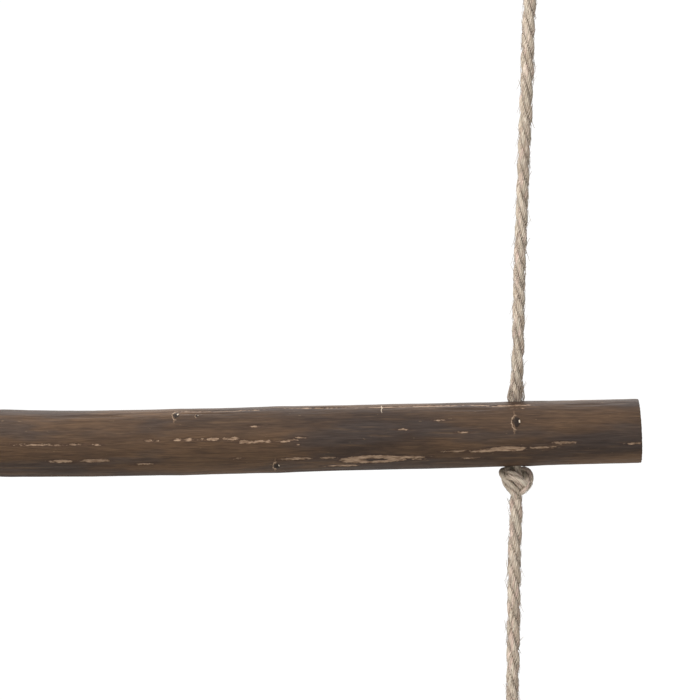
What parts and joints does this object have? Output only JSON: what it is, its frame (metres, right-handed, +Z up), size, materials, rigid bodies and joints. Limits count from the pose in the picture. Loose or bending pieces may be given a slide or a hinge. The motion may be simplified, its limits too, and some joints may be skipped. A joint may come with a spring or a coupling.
{
  "type": "rope ladder",
  "caption": "Hanging rope ladder whose bark-covered branch rungs are threaded on two jute ropes and rest on overhand knots, with a hanging loop at the top of each rope.",
  "frame": {"origin": "midway between the two hanging loops, at the height where a hook bears on the inside of their tops", "axes": "+X along the rungs to the right, +Y to the back, +Z up along the hanging ropes"},
  "size_m": [0.5081, 0.0394, 1.5605],
  "materials": {
    "bark": "weathered dark brown bark with pale scraped flecks, unvarnished",
    "jute": "hairy three-strand laid jute, undyed"
  },
  "bodies": {
    "eyes": {"eye_left": "jute", "eye_right": "jute", "eye_knot_left": "jute", "eye_knot_right": "jute", "eye_end_left": "jute", "eye_end_right": "jute"},
    "bay_1": {"rope_1_left": "jute", "rope_1_right": "jute"},
    "step_1": {"rung_1": "bark", "knot_1_left": "jute", "knot_1_right": "jute"},
    "bay_2": {"rope_2_left": "jute", "rope_2_right": "jute"},
    "step_2": {"rung_2": "bark", "knot_2_left": "jute", "knot_2_right": "jute"},
    "bay_3": {"rope_3_left": "jute", "rope_3_right": "jute"},
    "step_3": {"rung_3": "bark", "knot_3_left": "jute", "knot_3_right": "jute"},
    "bay_4": {"rope_4_left": "jute", "rope_4_right": "jute"},
    "step_4": {"rung_4": "bark", "knot_4_left": "jute", "knot_4_right": "jute"},
    "bay_5": {"rope_5_left": "jute", "rope_5_right": "jute"},
    "step_5": {"rung_5": "bark", "knot_5_left": "jute", "knot_5_right": "jute"},
    "loose_end_left": {"tail_left": "jute"},
    "loose_end_right": {"tail_right": "jute"}
  },
  "joints": [
    {"name": "bay_1_fold", "type": "hinge", "parent": "eyes", "child": "bay_1", "pos_m": [0, 0, -0.08495], "axis": [1, 0, 0], "range_deg": [-85, 85]},
    {"name": "step_1_fold", "type": "hinge", "parent": "bay_1", "child": "step_1", "pos_m": [0.00175, 0, -0.27615], "axis": [-1, 0, 0.0049], "range_deg": [-85, 85]},
    {"name": "bay_2_fold", "type": "hinge", "parent": "step_1", "child": "bay_2", "pos_m": [0.00175, 0, -0.33414], "axis": [-1, 0, 0.0093], "range_deg": [-85, 85]},
    {"name": "step_2_fold", "type": "hinge", "parent": "bay_2", "child": "step_2", "pos_m": [0.00415, 0, -0.56627], "axis": [1, 0, 0.0029], "range_deg": [-85, 85]},
    {"name": "bay_3_fold", "type": "hinge", "parent": "step_2", "child": "bay_3", "pos_m": [0.00415, 0, -0.62464], "axis": [1, 0, 0.0081], "range_deg": [-85, 85]},
    {"name": "step_3_fold", "type": "hinge", "parent": "bay_3", "child": "step_3", "pos_m": [-0.00175, 0, -0.85521], "axis": [-1, 0, -0.0081], "range_deg": [-85, 85]},
    {"name": "bay_4_fold", "type": "hinge", "parent": "step_3", "child": "bay_4", "pos_m": [-0.00175, 0, -0.91378], "axis": [-0.9999, 0, -0.0118], "range_deg": [-85, 85]},
    {"name": "step_4_fold", "type": "hinge", "parent": "bay_4", "child": "step_4", "pos_m": [-0.00285, 0, -1.14586], "axis": [1, 0, -0.0001], "range_deg": [-85, 85]},
    {"name": "bay_5_fold", "type": "hinge", "parent": "step_4", "child": "bay_5", "pos_m": [-0.00285, 0, -1.20443], "axis": [1, 0, -0.0053], "range_deg": [-85, 85]},
    {"name": "step_5_fold", "type": "hinge", "parent": "bay_5", "child": "step_5", "pos_m": [-0.0035, 0, -1.43537], "axis": [-1, 0, 0.0069], "range_deg": [-85, 85]},
    {"name": "loose_end_left_fold", "type": "hinge", "parent": "step_5", "child": "loose_end_left", "pos_m": [-0.184, 0, -1.49414], "axis": [-1, 0, 0], "range_deg": [-85, 85]},
    {"name": "loose_end_right_fold", "type": "hinge", "parent": "step_5", "child": "loose_end_right", "pos_m": [0.177, 0, -1.49519], "axis": [-1, 0, 0], "range_deg": [-85, 85]}
  ]
}
